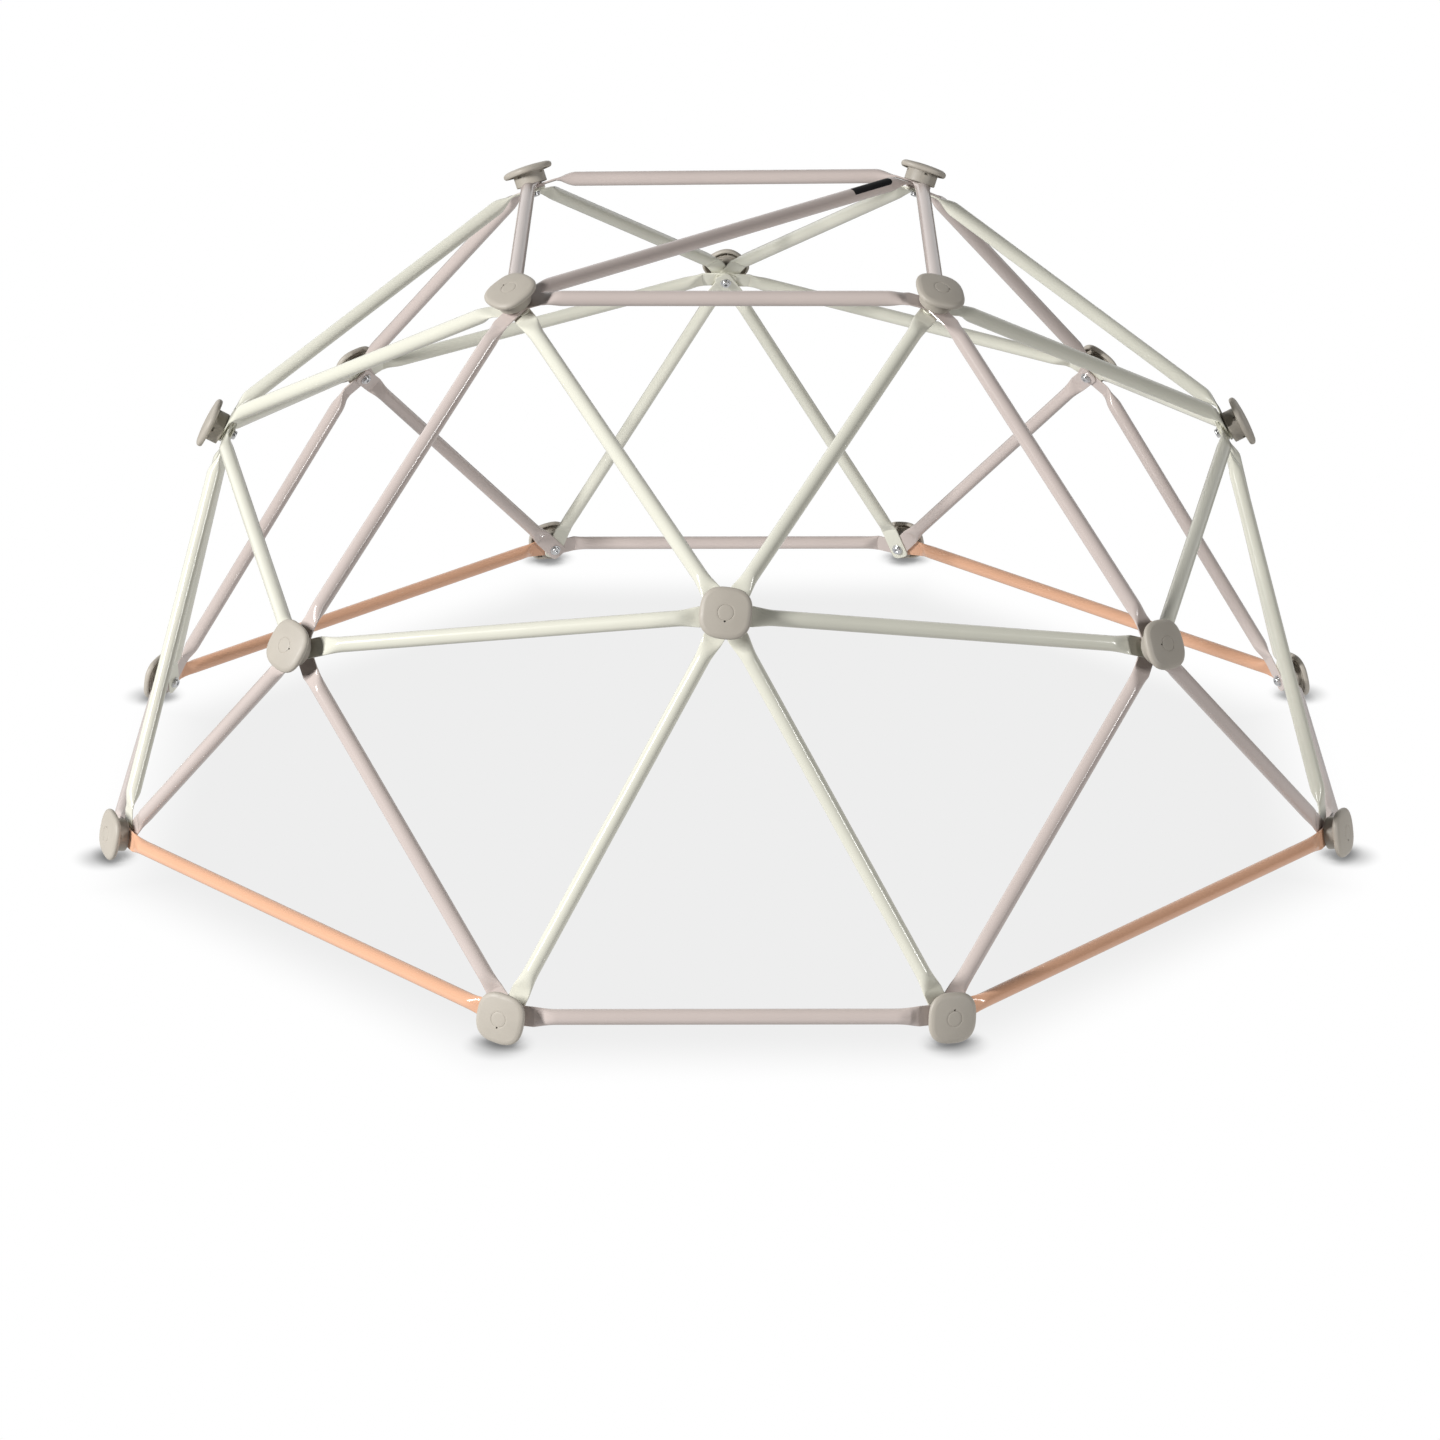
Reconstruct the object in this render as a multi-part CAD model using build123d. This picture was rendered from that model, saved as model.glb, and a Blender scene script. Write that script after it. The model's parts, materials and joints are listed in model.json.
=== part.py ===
from build123d import *
import os
from math import cos, pi, radians, sin

# Dome climber: flattened steel tubes bolted together at twenty hubs.
#
# Millimetres, +Z up.  The origin is on the ground under the middle of the dome,
# and -Y is the front.  Every tube is one piece: its round length, and at each
# end a flare down to a flat tab that lies against the tabs of its neighbours.

# ---- tubes
TUBE_D = 22.0           # outside diameter
WALL = 1.2              # tube wall
TAB_T = 2.5             # tab: the two walls pressed together
TAB_W = 29.0            # tab's width
TAB_END = 17.0          # tab beyond the bolt's axis
TAB_CORNER = 8.0        # rounding of the tab's two end corners
CREASE = 40.0           # bolt's axis to the crease where the tube leaves the tab
FLARE = 30.0            # crease to full round
FLARE_STEPS = ((0.0, TAB_T), (0.33, 11.0), (0.67, 18.5))   # share of FLARE, thickness there
LAYER = 2.6             # pitch of the tabs in a stack, a hair over TAB_T
BOLT_HOLE = 8.6

# ---- the frame: where the stacks' centres are
TOP_HALF = 298.0        # half the top square's side
SIDE_OUT = 756.0        # middle ring, over the middle of each side
CORNER_OUT = 597.0      # middle ring, over each corner (same in X and in Y)
BASE_NEAR = 300.0       # base octagon
BASE_FAR = 900.0
TOP_RISE = 828.0        # heights over the base hubs
SIDE_RISE = 535.0
CORNER_RISE = 420.0

# ---- how far each hub's axis leans up from level, in degrees
TOP_LEAN = 64.0
SIDE_LEAN = 28.5
CORNER_LEAN = 29.0
BASE_LEAN = 11.8
BASE_TURN = 24.4        # base hub's axis, turned away from its side's own axis

# ---- plastic cup and cap on the outside of each hub
CUP_D = 49.0
CUP_H = 24.0
CUP_WALL = 2.5
CUP_FLOOR = 3.0
NOTCH_W = 7.0
NOTCH_H = 3.0
NOTCHES = 4
CAP_W = 72.0
CAP_T = 12.0            # at the middle of its domed face
CAP_CROWN = 2.6         # how far the face has dropped at the middle of a side
CAP_EDGE = 4.6          # rounding of the cap's outer edge
CAP_LIP = 1.6           # rounding of the cap's lower edge
CAP_POWER = 2.7         # 2 is a circle, larger is squarer
CAP_SKIN = 3.6
CAP_LIFT = 18.0         # stack to the cap's lower rim
CAP_RIBS = 8
RIB_T = 1.6
COLLAR_D = 54.0         # ring under the cap, around the cup
EMBLEM_D = 23.0         # plain ring pressed into the cap's face
EMBLEM_GROOVE = 0.9
PIN_HOLE_D = 2.8
PIN_HOLE_OUT = 12.2     # cap's middle to the pin hole

# ---- M8 bolt, washer and lock nut
BOLT_D = 8.0
HEAD_D = 14.5
HEAD_H = 4.6
SOCKET = 5.0
WASHER_D = 18.0
WASHER_T = 1.6
NUT_FLATS = 13.0
NUT_H = 8.0
FIT_GAP = 0.1           # between the pieces of a stack

# ---- safety label around part of the top diagonal
LABEL_LEN = 84.0
LABEL_ARC = 78.0        # degrees of the tube's surface it covers
LABEL_T = 0.25
LABEL_FROM_BOLT = 113.0  # back right bolt to the label's middle
LABEL_ROLL = 60.0       # how far its middle is turned up from facing straight out


# ---- how far the caps over the base are turned, in degrees
CAP_TURNS = {
    "top_front_left": 262.0,
    "top_front_right": 55.0,
    "top_back_right": 127.0,
    "top_back_left": 350.0,
    "side_front": 353.0,
    "side_right": 31.0,
    "side_back": 142.0,
    "side_left": 253.0,
    "corner_front_left": 78.0,
    "corner_front_right": 261.0,
    "corner_back_right": 37.0,
    "corner_back_left": 170.0,
}


class Hub:
    """One bolted joint: its stack's centre, its outward axis and its tabs."""

    def __init__(self, x, y, z, azimuth, lean):
        self.point = Vector(x, y, z)
        self.axis = Vector(
            cos(radians(lean)) * cos(radians(azimuth)),
            cos(radians(lean)) * sin(radians(azimuth)),
            sin(radians(lean)),
        )
        self.tabs = []      # strut names, innermost first

    def stack_half(self):
        return len(self.tabs) * LAYER / 2

    def layer_point(self, strut):
        """Where the bolt's axis crosses the middle of this strut's tab."""
        rise = (self.tabs.index(strut) + 0.5) * LAYER - self.stack_half()
        return self.point + self.axis * rise

    def frame(self, rise, roll=0.0):
        """A place across the axis; before the roll its local Y is the steepest way up."""
        level = Vector(0, 0, 1).cross(self.axis).normalized()
        plane = Plane(origin=self.point + self.axis * rise, x_dir=level, z_dir=self.axis)
        return Location(plane) * Rot(0, 0, roll)


def quarter(x, y, turns):
    """The point turned by quarter turns about Z."""
    for _ in range(turns % 4):
        x, y = -y, x
    return x, y


QUARTERS = ("front", "right", "back", "left")
CORNERS = ("front_left", "front_right", "back_right", "back_left")


def make_hubs(base_z):
    """All twenty hubs, by name."""
    hubs = {}
    for turn, side in enumerate(QUARTERS):
        corner = CORNERS[turn]
        facing = 270.0 + 90.0 * turn
        x, y = quarter(-TOP_HALF, -TOP_HALF, turn)
        hubs["top_" + corner] = Hub(x, y, base_z + TOP_RISE, facing - 45, TOP_LEAN)
        x, y = quarter(0, -SIDE_OUT, turn)
        hubs["side_" + side] = Hub(x, y, base_z + SIDE_RISE, facing, SIDE_LEAN)
        x, y = quarter(-CORNER_OUT, -CORNER_OUT, turn)
        hubs["corner_" + corner] = Hub(x, y, base_z + CORNER_RISE, facing - 45, CORNER_LEAN)
        x, y = quarter(-BASE_NEAR, -BASE_FAR, turn)
        hubs[f"base_{side}_a"] = Hub(x, y, base_z, facing - BASE_TURN, BASE_LEAN)
        x, y = quarter(BASE_NEAR, -BASE_FAR, turn)
        hubs[f"base_{side}_b"] = Hub(x, y, base_z, facing + BASE_TURN, BASE_LEAN)
    return hubs


def strut_table():
    """Every strut's name and the two hubs it joins.

    Seen from outside the dome, hub "a" of a side is on its left and "b" on its
    right.  The order here sets the order of the tabs in each stack: a strut
    listed earlier lies further inside.
    """
    struts = {}
    for turn in (2, 3, 1, 0):
        side = QUARTERS[turn]
        left = CORNERS[turn]
        right = CORNERS[(turn + 1) % 4]
        struts[f"side_leg_{side}_a"] = (f"side_{side}", f"base_{side}_a")
        struts[f"corner_leg_{side}_b"] = (f"corner_{right}", f"base_{side}_b")
        struts[f"corner_leg_{side}_a"] = (f"corner_{left}", f"base_{side}_a")
        struts[f"side_leg_{side}_b"] = (f"side_{side}", f"base_{side}_b")
    for turn, side in enumerate(QUARTERS):
        left = CORNERS[turn]
        right = CORNERS[(turn + 1) % 4]
        struts[f"ring_bar_{side}_a"] = (f"side_{side}", f"corner_{left}")
        struts[f"ring_bar_{side}_b"] = (f"side_{side}", f"corner_{right}")
    for turn, side in enumerate(QUARTERS):
        left = CORNERS[turn]
        right = CORNERS[(turn + 1) % 4]
        struts[f"upper_strut_{side}_a"] = (f"side_{side}", f"top_{left}")
        struts[f"upper_strut_{side}_b"] = (f"side_{side}", f"top_{right}")
    for corner in CORNERS:
        struts[f"corner_strut_{corner}"] = (f"corner_{corner}", f"top_{corner}")
    struts["top_diagonal"] = ("top_front_left", "top_back_right")
    for turn, side in enumerate(QUARTERS):
        left = CORNERS[turn]
        right = CORNERS[(turn + 1) % 4]
        struts[f"top_bar_{side}"] = (f"top_{left}", f"top_{right}")
    for side in QUARTERS:
        struts[f"base_bar_{side}"] = (f"base_{side}_a", f"base_{side}_b")
    for turn, corner in enumerate(CORNERS):
        before = QUARTERS[(turn + 3) % 4]
        struts[f"base_corner_{corner}"] = (f"base_{before}_b", f"base_{QUARTERS[turn]}_a")
    return struts


def strut_line(hubs, name, ends):
    """The strut's two creases, its two tab directions and its tube's direction."""
    bolts = [hubs[end].layer_point(name) for end in ends]
    axes = [hubs[end].axis for end in ends]
    along = (bolts[1] - bolts[0]).normalized()
    for _ in range(8):
        outs = []
        for axis, heading in zip(axes, (along, along * -1)):
            outs.append((heading - axis * heading.dot(axis)).normalized())
        creases = [bolt + out * CREASE for bolt, out in zip(bolts, outs)]
        along = (creases[1] - creases[0]).normalized()
    return bolts, axes, outs, creases, along


def pressed_outline(plane, thickness, inset=0.0):
    """Outline of the tube pressed down to this thickness; it widens as it thins."""
    pressed = (TUBE_D - thickness) / (TUBE_D - TAB_T)
    half_flat = (TUBE_D + (TAB_W - TUBE_D) * pressed - thickness) / 2
    radius = thickness / 2 - inset
    if half_flat < 0.01:
        # the full circle, cut in four like the flattened outlines
        angles = (-60, 60, 120, 240)
        points = [Vector(radius * cos(radians(a)), radius * sin(radians(a))) for a in angles]
        right_mid, left_mid = Vector(radius, 0), Vector(-radius, 0)
        top = ThreePointArc(points[1], Vector(0, radius), points[2])
        bottom = ThreePointArc(points[3], Vector(0, -radius), points[0])
    else:
        points = [
            Vector(half_flat, -radius),
            Vector(half_flat, radius),
            Vector(-half_flat, radius),
            Vector(-half_flat, -radius),
        ]
        right_mid = Vector(half_flat + radius, 0)
        left_mid = Vector(-half_flat - radius, 0)
        top = Line(points[1], points[2])
        bottom = Line(points[3], points[0])
    right = ThreePointArc(points[0], right_mid, points[1])
    left = ThreePointArc(points[2], left_mid, points[3])
    return plane * Wire([right.edge(), top.edge(), left.edge(), bottom.edge()])


def flare(crease, out, axis, heading, inset=0.0):
    """The length between tab and round tube; with an inset, the space inside it."""
    side = axis.cross(out)
    outlines = []
    for share, thickness in FLARE_STEPS + ((1.0, TUBE_D),):
        if inset and share == 0.0:
            continue
        facing = out if share == 0.0 else heading
        plane = Plane(origin=crease + heading * (share * FLARE), x_dir=side, z_dir=facing)
        outlines.append(pressed_outline(plane, thickness, inset))
    return Solid.make_loft(outlines)


def tab(bolt, out, axis):
    """The flat end with its bolt hole and its two rounded corners."""
    side = axis.cross(out)
    across = Plane(origin=bolt - out * TAB_END, x_dir=side, z_dir=out)
    outline = Face(pressed_outline(across, TAB_T))
    blank = Solid.extrude(outline, out * (TAB_END + CREASE))
    length = TAB_END + CREASE + 2 * TAB_CORNER
    flat = Plane(origin=bolt, x_dir=out, z_dir=axis)
    middle = (length / 2 - TAB_END, 0)
    shape = flat * (Pos(*middle) * RectangleRounded(length, TAB_W + 0.02, TAB_CORNER))
    keep = extrude(shape, TAB_T, both=True)
    hole = flat * Cylinder(BOLT_HOLE / 2, 4 * TAB_T)
    return (blank & keep) - hole


def strut(hubs, name, ends):
    """One whole strut, hollow between its two flares."""
    bolts, axes, outs, creases, along = strut_line(hubs, name, ends)
    outer = []
    inner = []
    rounds = []
    for index, heading in enumerate((along, along * -1)):
        outer.append(tab(bolts[index], outs[index], axes[index]))
        outer.append(flare(creases[index], outs[index], axes[index], heading))
        inner.append(flare(creases[index], outs[index], axes[index], heading, WALL))
        rounds.append(creases[index] + heading * FLARE)
    length = (rounds[1] - rounds[0]).length
    start = Plane(origin=rounds[0], z_dir=along)
    outer.append(start * Cylinder(TUBE_D / 2, length, align=(Align.CENTER, Align.CENTER, Align.MIN)))
    bore = start * Cylinder(TUBE_D / 2 - WALL, length, align=(Align.CENTER, Align.CENTER, Align.MIN))
    solid = outer[0].fuse(*outer[1:])
    void = bore.fuse(*inner)
    return solid - void


def squircle(width):
    """Closed outline between a circle and a square."""
    steps = 48
    points = []
    for step in range(steps):
        angle = 2 * pi * step / steps
        reach = (abs(cos(angle)) ** CAP_POWER + abs(sin(angle)) ** CAP_POWER) ** (-1 / CAP_POWER)
        points.append((width / 2 * reach * cos(angle), width / 2 * reach * sin(angle)))
    return make_face(Spline(*points, periodic=True))


def hub_cap():
    """Cap, lower rim on its local XY plane and face up."""
    crown_radius = (CAP_W ** 2 / 4 + CAP_CROWN ** 2) / (2 * CAP_CROWN)
    body = extrude(squircle(CAP_W), CAP_T)
    body &= Pos(0, 0, CAP_T - crown_radius) * Sphere(crown_radius, rotation=(90, 0, 0))
    body = fillet(body.faces().sort_by(Axis.Z)[-1].edges(), CAP_EDGE)
    body = fillet(body.edges().sort_by(Axis.Z)[0], CAP_LIP)
    body -= extrude(squircle(CAP_W - 2 * CAP_SKIN - 2 * CAP_LIP), CAP_T - CAP_SKIN)
    depth = CAP_T - CAP_SKIN
    collar_in = CUP_D / 2 + 0.3
    for count in range(CAP_RIBS):
        rib = Box(CAP_W / 2 - CAP_SKIN - collar_in, RIB_T, depth - 2.0, align=(Align.MIN, Align.CENTER, Align.MIN))
        body += Rot(0, 0, 360 * count / CAP_RIBS) * Pos(collar_in + 0.5, 0, 2.5) * rib
    collar = Cylinder(COLLAR_D / 2, depth - 1.0, align=(Align.CENTER, Align.CENTER, Align.MIN))
    collar -= Cylinder(collar_in, depth, align=(Align.CENTER, Align.CENTER, Align.MIN))
    body += Pos(0, 0, 1.5) * collar
    groove = Cylinder(EMBLEM_D / 2, 1.0) - Cylinder(EMBLEM_D / 2 - EMBLEM_GROOVE, 1.0)
    body -= Pos(0, 0, CAP_T + 0.1) * groove
    body -= Pos(0, -PIN_HOLE_OUT, CAP_T) * Cylinder(PIN_HOLE_D / 2, 2 * CAP_SKIN + 1.0)
    return body


def hub_cup():
    """Cup that holds the lock nut; its floor is on its local XY plane."""
    on_floor = (Align.CENTER, Align.CENTER, Align.MIN)
    body = Cylinder(CUP_D / 2, CUP_H, align=on_floor)
    body = fillet(body.edges().sort_by(Axis.Z)[0], 1.0)
    room = Cylinder(CUP_D / 2 - CUP_WALL, CUP_H, align=on_floor)
    body -= Pos(0, 0, CUP_FLOOR) * room
    for count in range(NOTCHES):
        notch = Box(2 * CUP_WALL, NOTCH_W, NOTCH_H)
        at = Pos(CUP_D / 2, 0, CAP_LIFT - NOTCH_H)
        body -= Rot(0, 0, 360 * count / NOTCHES + 20) * at * notch
    body -= Cylinder(BOLT_HOLE / 2, 3 * CUP_FLOOR)
    return body


def bolt(stack):
    """Domed socket-head bolt, head inwards, for a stack this thick."""
    up = (Align.CENTER, Align.CENTER, Align.MIN)
    under_head = WASHER_T + FIT_GAP
    length = under_head + stack + FIT_GAP + CUP_FLOOR + NUT_H + 3.0
    shank = Cylinder(BOLT_D / 2, length, align=up)
    shank = chamfer(shank.edges().sort_by(Axis.Z)[-1], 0.8)
    head = Cylinder(HEAD_D / 2, HEAD_H, align=up)
    head = fillet(head.edges().sort_by(Axis.Z)[0], 2.4)
    head -= extrude(RegularPolygon(SOCKET / 2, 6, major_radius=False), 2.6)
    return Pos(0, 0, -under_head - HEAD_H) * head + Pos(0, 0, -under_head) * shank


def washer():
    ring = Cylinder(WASHER_D / 2, WASHER_T) - Cylinder(BOLT_D / 2 + 0.2, 2 * WASHER_T)
    return Pos(0, 0, -FIT_GAP - WASHER_T / 2) * ring


def lock_nut():
    """Hexagon nut with a rounded collar; seat on its local XY plane."""
    hexagon = extrude(RegularPolygon(NUT_FLATS / 2, 6, major_radius=False), NUT_H - 2.0)
    collar = Cylinder(NUT_FLATS / 2 - 0.6, NUT_H, align=(Align.CENTER, Align.CENTER, Align.MIN))
    collar = fillet(collar.edges().sort_by(Axis.Z)[-1], 1.4)
    return (hexagon + collar) - Cylinder(BOLT_D / 2 + 0.05, 3 * NUT_H)


def label(hubs, struts):
    """Thin curved label on the top diagonal, one end square and the other round."""
    name = "top_diagonal"
    bolts, axes, outs, creases, along = strut_line(hubs, name, struts[name])
    middle = creases[1] - along * (LABEL_FROM_BOLT - CREASE)
    level = Vector(0, 0, 1).cross(along).normalized() * -1
    out = level.rotate(Axis((0, 0, 0), along), -LABEL_ROLL)
    place = Plane(origin=middle, x_dir=along, z_dir=out)
    shell = Cylinder(TUBE_D / 2 + LABEL_T, 2 * LABEL_LEN, rotation=(0, 90, 0))
    shell -= Cylinder(TUBE_D / 2 + 0.02, 2 * LABEL_LEN, rotation=(0, 90, 0))
    width = TUBE_D * sin(radians(LABEL_ARC / 2))
    shape = Rectangle(LABEL_LEN, width)
    shape = fillet(shape.vertices().group_by(Axis.X)[-1], width / 2 - 0.6)
    return place * (shell & extrude(shape, TUBE_D))


def cap_roll(name):
    """How far each cap is turned; all the base ones hang equally low."""
    if name.startswith("base"):
        return -7.0 if name.endswith("a") else 173.0
    return CAP_TURNS[name]


def base_height():
    """Height of the base hubs that puts the lower rims of their caps on the ground."""
    hubs = make_hubs(0.0)
    name = "base_front_a"
    hubs[name].tabs = ["tab"] * 4
    rise = hubs[name].stack_half() + FIT_GAP + CAP_LIFT
    placed = hubs[name].frame(rise, cap_roll(name)) * hub_cap()
    return -placed.bounding_box().min.Z


def export_group(solids, node):
    export_step(Compound(children=list(solids)), f"parts/{node}.step")


def main():
    os.makedirs("parts", exist_ok=True)
    hubs = make_hubs(base_height())
    struts = strut_table()
    for name, ends in struts.items():
        for end in ends:
            hubs[end].tabs.append(name)
    for name, ends in struts.items():
        export_step(strut(hubs, name, ends), f"parts/{name}.step")
    export_step(label(hubs, struts), "parts/diagonal_label.step")

    cap, cup, ring, nut = hub_cap(), hub_cup(), washer(), lock_nut()
    bolts = {count: bolt(count * LAYER) for count in (4, 5, 6)}
    rings_of_hubs = {"top": ("top",), "middle": ("side", "corner"), "base": ("base",)}
    for level, starts in rings_of_hubs.items():
        group = {name: hub for name, hub in hubs.items() if name.startswith(starts)}
        caps = []
        cups = []
        for name, hub in group.items():
            seat = hub.stack_half() + FIT_GAP
            caps.append(hub.frame(seat + CAP_LIFT, cap_roll(name)) * cap)
            cups.append(hub.frame(seat, cap_roll(name)) * cup)
        export_group(caps, f"{level}_hub_caps")
        export_group(cups, f"{level}_hub_cups")
    rings = []
    nuts = []
    screws = []
    for hub in hubs.values():
        inside = hub.frame(-hub.stack_half())
        screws.append(inside * bolts[len(hub.tabs)])
        rings.append(inside * ring)
        nuts.append(hub.frame(hub.stack_half() + 2 * FIT_GAP + CUP_FLOOR) * nut)
    export_group(screws, "hub_bolts")
    export_group(rings, "hub_washers")
    export_group(nuts, "hub_lock_nuts")


main()
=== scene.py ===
"""Dome climber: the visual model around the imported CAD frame.

Metres, in the CAD's own frame: +Z up, -Y the front, origin on the ground under
the middle.  The tubes and the hub caps are rebuilt here as fine meshes on the
same lines and sizes as the CAD; cups, bolts, washers, lock nuts and the label
stay CAD nodes and get materials.
"""
import json
import math

import bmesh
import bpy
from mathutils import Matrix, Vector


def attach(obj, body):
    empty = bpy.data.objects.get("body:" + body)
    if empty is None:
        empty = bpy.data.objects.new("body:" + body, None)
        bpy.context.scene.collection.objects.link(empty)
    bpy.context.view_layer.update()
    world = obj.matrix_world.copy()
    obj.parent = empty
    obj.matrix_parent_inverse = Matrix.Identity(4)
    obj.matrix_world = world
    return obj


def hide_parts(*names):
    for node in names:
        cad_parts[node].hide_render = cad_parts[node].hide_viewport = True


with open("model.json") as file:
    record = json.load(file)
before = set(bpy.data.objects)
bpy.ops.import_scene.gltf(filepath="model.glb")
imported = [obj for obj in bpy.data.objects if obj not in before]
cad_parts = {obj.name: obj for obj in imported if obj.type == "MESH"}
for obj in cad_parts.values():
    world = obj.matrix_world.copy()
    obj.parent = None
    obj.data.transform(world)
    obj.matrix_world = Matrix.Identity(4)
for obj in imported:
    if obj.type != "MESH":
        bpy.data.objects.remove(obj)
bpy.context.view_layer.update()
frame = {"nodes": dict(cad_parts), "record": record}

MM = 0.001
ROOT = "root"

# ---- sizes repeated from the CAD model, in millimetres and degrees
TUBE_D = 22.0
TAB_T = 2.5
TAB_W = 29.0
TAB_END = 17.0
TAB_CORNER = 8.0
CREASE = 40.0
FLARE = 30.0
LAYER = 2.6
BOLT_HOLE = 8.6
FIT_GAP = 0.1
TOP_HALF = 298.0
SIDE_OUT = 756.0
CORNER_OUT = 597.0
BASE_NEAR = 300.0
BASE_FAR = 900.0
BASE_Z = 30.7007
TOP_RISE = 828.0
SIDE_RISE = 535.0
CORNER_RISE = 420.0
TOP_LEAN = 64.0
SIDE_LEAN = 28.5
CORNER_LEAN = 29.0
BASE_LEAN = 11.8
BASE_TURN = 24.4
CUP_D = 49.0
CAP_W = 72.0
CAP_T = 12.0
CAP_CROWN = 2.6
CAP_POWER = 2.7
CAP_LIFT = 18.0
CAP_SKIN = 3.6
CAP_RIBS = 8
RIB_T = 1.6
COLLAR_D = 54.0
EMBLEM_D = 23.0
EMBLEM_GROOVE = 0.9
PIN_HOLE_D = 2.8
PIN_HOLE_OUT = 12.2
CAP_TURNS = {
    "top_front_left": 262.0, "top_front_right": 55.0,
    "top_back_right": 127.0, "top_back_left": 350.0,
    "side_front": 353.0, "side_right": 31.0, "side_back": 142.0, "side_left": 253.0,
    "corner_front_left": 78.0, "corner_front_right": 261.0,
    "corner_back_right": 37.0, "corner_back_left": 170.0,
}

QUARTERS = ("front", "right", "back", "left")
CORNERS = ("front_left", "front_right", "back_right", "back_left")


# ---------------------------------------------------------------- the frame

class Hub:
    """One bolted joint: its stack's centre, its outward axis and its tabs."""

    def __init__(self, x, y, z, azimuth, lean):
        flat = math.cos(math.radians(lean))
        self.point = Vector((x, y, z))
        self.axis = Vector((
            flat * math.cos(math.radians(azimuth)),
            flat * math.sin(math.radians(azimuth)),
            math.sin(math.radians(lean)),
        ))
        self.tabs = []

    def layer_point(self, strut):
        rise = (self.tabs.index(strut) + 0.5 - len(self.tabs) / 2) * LAYER
        return self.point + self.axis * rise

    def place(self, rise, roll):
        """Matrix that puts a piece made around its own Z on the hub's axis, in metres."""
        level = Vector((0, 0, 1)).cross(self.axis).normalized()
        up = self.axis.cross(level)
        turn = Matrix((level, up, self.axis)).transposed().to_4x4()
        at = Matrix.Translation((self.point + self.axis * rise) * MM)
        return at @ turn @ Matrix.Rotation(math.radians(roll), 4, "Z")


def quarter(x, y, turns):
    for _ in range(turns % 4):
        x, y = -y, x
    return x, y


def make_hubs():
    hubs = {}
    for turn, side in enumerate(QUARTERS):
        corner = CORNERS[turn]
        facing = 270.0 + 90.0 * turn
        x, y = quarter(-TOP_HALF, -TOP_HALF, turn)
        hubs["top_" + corner] = Hub(x, y, BASE_Z + TOP_RISE, facing - 45, TOP_LEAN)
        x, y = quarter(0, -SIDE_OUT, turn)
        hubs["side_" + side] = Hub(x, y, BASE_Z + SIDE_RISE, facing, SIDE_LEAN)
        x, y = quarter(-CORNER_OUT, -CORNER_OUT, turn)
        hubs["corner_" + corner] = Hub(x, y, BASE_Z + CORNER_RISE, facing - 45, CORNER_LEAN)
        x, y = quarter(-BASE_NEAR, -BASE_FAR, turn)
        hubs[f"base_{side}_a"] = Hub(x, y, BASE_Z, facing - BASE_TURN, BASE_LEAN)
        x, y = quarter(BASE_NEAR, -BASE_FAR, turn)
        hubs[f"base_{side}_b"] = Hub(x, y, BASE_Z, facing + BASE_TURN, BASE_LEAN)
    return hubs


def strut_table():
    """Every strut's two hubs, in the order that stacks the tabs, innermost first."""
    struts = {}
    for turn in (2, 3, 1, 0):
        side = QUARTERS[turn]
        left, right = CORNERS[turn], CORNERS[(turn + 1) % 4]
        struts[f"side_leg_{side}_a"] = (f"side_{side}", f"base_{side}_a")
        struts[f"corner_leg_{side}_b"] = (f"corner_{right}", f"base_{side}_b")
        struts[f"corner_leg_{side}_a"] = (f"corner_{left}", f"base_{side}_a")
        struts[f"side_leg_{side}_b"] = (f"side_{side}", f"base_{side}_b")
    for kind, joins in (("ring_bar", "corner"), ("upper_strut", "top")):
        for turn, side in enumerate(QUARTERS):
            left, right = CORNERS[turn], CORNERS[(turn + 1) % 4]
            struts[f"{kind}_{side}_a"] = (f"side_{side}", f"{joins}_{left}")
            struts[f"{kind}_{side}_b"] = (f"side_{side}", f"{joins}_{right}")
    for corner in CORNERS:
        struts[f"corner_strut_{corner}"] = (f"corner_{corner}", f"top_{corner}")
    struts["top_diagonal"] = ("top_front_left", "top_back_right")
    for turn, side in enumerate(QUARTERS):
        struts[f"top_bar_{side}"] = (f"top_{CORNERS[turn]}", f"top_{CORNERS[(turn + 1) % 4]}")
    for side in QUARTERS:
        struts[f"base_bar_{side}"] = (f"base_{side}_a", f"base_{side}_b")
    for turn, corner in enumerate(CORNERS):
        before = QUARTERS[(turn + 3) % 4]
        struts[f"base_corner_{corner}"] = (f"base_{before}_b", f"base_{QUARTERS[turn]}_a")
    return struts


LINE_ROUNDS = 8                 # rounds that settle a tube's line between its two tabs


def strut_line(hubs, name, ends):
    """Bolt points, hub axes, tab directions, creases and the tube's direction."""
    bolts = [hubs[end].layer_point(name) for end in ends]
    axes = [hubs[end].axis for end in ends]
    along = (bolts[1] - bolts[0]).normalized()
    for _ in range(LINE_ROUNDS):
        outs = []
        for axis, heading in zip(axes, (along, -along)):
            outs.append((heading - axis * heading.dot(axis)).normalized())
        creases = [bolt + out * CREASE for bolt, out in zip(bolts, outs)]
        along = (creases[1] - creases[0]).normalized()
    return bolts, axes, outs, creases, along


# ---------------------------------------------------------------- meshes

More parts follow.
